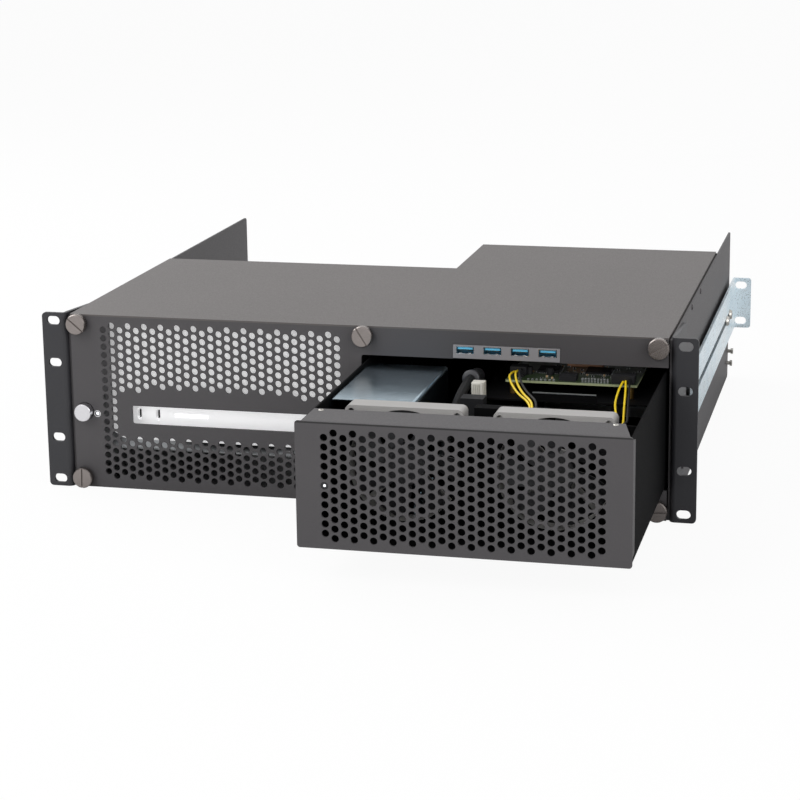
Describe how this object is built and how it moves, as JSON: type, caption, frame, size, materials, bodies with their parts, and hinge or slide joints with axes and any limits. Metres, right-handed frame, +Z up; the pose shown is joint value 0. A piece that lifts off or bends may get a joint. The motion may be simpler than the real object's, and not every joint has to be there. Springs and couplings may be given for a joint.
{
  "type": "rack chassis with expansion sled",
  "caption": "Three-unit rack chassis: a computer bay behind a vented panel, and a pull-out sled with fans, power supply, backplane and carrier board for expansion cards.",
  "frame": {"origin": "centre of the front rack hole pattern, on the rear face of the rack ears that seats on the rack", "axes": "+X to the right seen from the front, +Y to the rear, +Z up"},
  "size_m": [0.4826, 0.609, 0.1324],
  "materials": {
    "charcoal_steel": "powder-coated, fine texture",
    "warm_grey_steel": "powder-coated, fine texture",
    "black_steel": "powder-coated, matte",
    "zinc_steel": "bluish zinc plate",
    "galvanised_steel": "galvanised",
    "screw_steel": "black nickel",
    "turned_aluminium": "turned",
    "host_aluminium": "blasted and anodised",
    "bright_shell": "nickel plate",
    "blue_plastic": "moulded",
    "black_plastic": "moulded",
    "fan_plastic": "moulded, slightly translucent",
    "slide_plastic": "smooth",
    "board_green": "solder mask",
    "standoff_brass": "machined",
    "light_white": "diffusing lens",
    "black_cable": "smooth jacket",
    "yellow_wire": "smooth insulation"
  },
  "bodies": {
    "chassis": {"front_grille": "charcoal_steel", "front_bay_frame": "charcoal_steel", "usb_plate": "charcoal_steel", "top_cover": "warm_grey_steel", "base_pan": "black_steel", "side_plate_left": "black_steel", "side_plate_right": "black_steel", "bay_divider": "black_steel", "bay_floor": "black_steel", "rear_frame": "black_steel", "rack_ear_left": "black_steel", "rack_ear_right": "black_steel", "bracket_spacers": "zinc_steel", "host_shelf": "galvanised_steel", "side_screws": "screw_steel", "bracket_screws": "screw_steel", "side_studs": "screw_steel", "host_housing": "host_aluminium", "usb_shells": "bright_shell", "usb_tongues": "blue_plastic", "power_switch": "black_plastic", "host_base": "black_plastic", "host_tongues": "black_plastic", "slide_strips": "slide_plastic", "usb_board": "board_green"},
    "sled": {"sled_tray": "black_steel", "sled_face": "charcoal_steel", "sled_return": "charcoal_steel", "sled_lip": "charcoal_steel", "sled_rear_panel": "black_steel", "sled_screws": "screw_steel", "status_light": "light_white", "fan_bracket": "black_steel", "fan_frame_left": "fan_plastic", "fan_frame_right": "fan_plastic", "psu_case": "galvanised_steel", "psu_parts": "black_plastic", "backplane": "board_green", "card_slots": "black_plastic", "board_tray": "black_steel", "carrier_board": "board_green", "board_standoffs": "standoff_brass", "air_guide": "black_steel", "board_parts": "black_plastic", "slot_covers": "galvanised_steel", "inlet_socket": "black_plastic", "supply_cable": "black_cable", "fan_leads_yellow": "yellow_wire", "fan_leads_black": "black_cable"},
    "fan_rotor_left": {"fan_rotor_left": "fan_plastic"},
    "fan_rotor_right": {"fan_rotor_right": "fan_plastic"},
    "power_button": {"power_button": "turned_aluminium"},
    "rear_bracket_left": {"rear_bracket_left": "zinc_steel"},
    "rear_bracket_right": {"rear_bracket_right": "zinc_steel"},
    "thumbscrew_top_left": {"thumbscrew_top_left": "screw_steel"},
    "thumbscrew_top_middle": {"thumbscrew_top_middle": "screw_steel"},
    "thumbscrew_top_right": {"thumbscrew_top_right": "screw_steel"},
    "thumbscrew_bottom_left": {"thumbscrew_bottom_left": "screw_steel"},
    "thumbscrew_bottom_middle": {"thumbscrew_bottom_middle": "screw_steel"},
    "thumbscrew_bottom_right": {"thumbscrew_bottom_right": "screw_steel"}
  },
  "joints": [
    {"name": "sled_slide", "type": "slide", "parent": "chassis", "child": "sled", "axis": [0, -1, 0], "range_m": [-0.174, 0.06]},
    {"name": "fan_left_spin", "type": "hinge", "parent": "sled", "child": "fan_rotor_left", "pos_m": [0.0617, -0.114, -0.00015], "axis": [0, -1, 0], "continuous": true},
    {"name": "fan_right_spin", "type": "hinge", "parent": "sled", "child": "fan_rotor_right", "pos_m": [0.1613, -0.114, -0.00015], "axis": [0, -1, 0], "continuous": true},
    {"name": "thumbscrew_top_left_turn", "type": "hinge", "parent": "chassis", "child": "thumbscrew_top_left", "pos_m": [-0.214, 0, 0.05845], "axis": [0, -1, 0], "continuous": true},
    {"name": "thumbscrew_top_middle_turn", "type": "hinge", "parent": "chassis", "child": "thumbscrew_top_middle", "pos_m": [0.003, 0, 0.05845], "axis": [0, -1, 0], "continuous": true},
    {"name": "thumbscrew_top_right_turn", "type": "hinge", "parent": "chassis", "child": "thumbscrew_top_right", "pos_m": [0.214, 0, 0.05845], "axis": [0, -1, 0], "continuous": true},
    {"name": "thumbscrew_bottom_left_turn", "type": "hinge", "parent": "chassis", "child": "thumbscrew_bottom_left", "pos_m": [-0.214, 0, -0.05855], "axis": [0, -1, 0], "continuous": true},
    {"name": "thumbscrew_bottom_middle_turn", "type": "hinge", "parent": "chassis", "child": "thumbscrew_bottom_middle", "pos_m": [0.003, 0, -0.05855], "axis": [0, -1, 0], "continuous": true},
    {"name": "thumbscrew_bottom_right_turn", "type": "hinge", "parent": "chassis", "child": "thumbscrew_bottom_right", "pos_m": [0.214, 0, -0.05855], "axis": [0, -1, 0], "continuous": true},
    {"name": "power_press", "type": "slide", "parent": "chassis", "child": "power_button", "axis": [0, 1, 0], "range_m": [0, 0.003], "stiffness_N_per_m": 400, "springref_m": -0.002},
    {"name": "bracket_left_slide", "type": "slide", "parent": "chassis", "child": "rear_bracket_left", "axis": [0, 1, 0], "range_m": [0, 0.2]},
    {"name": "bracket_right_slide", "type": "slide", "parent": "chassis", "child": "rear_bracket_right", "axis": [0, 1, 0], "range_m": [0, 0.2]}
  ]
}
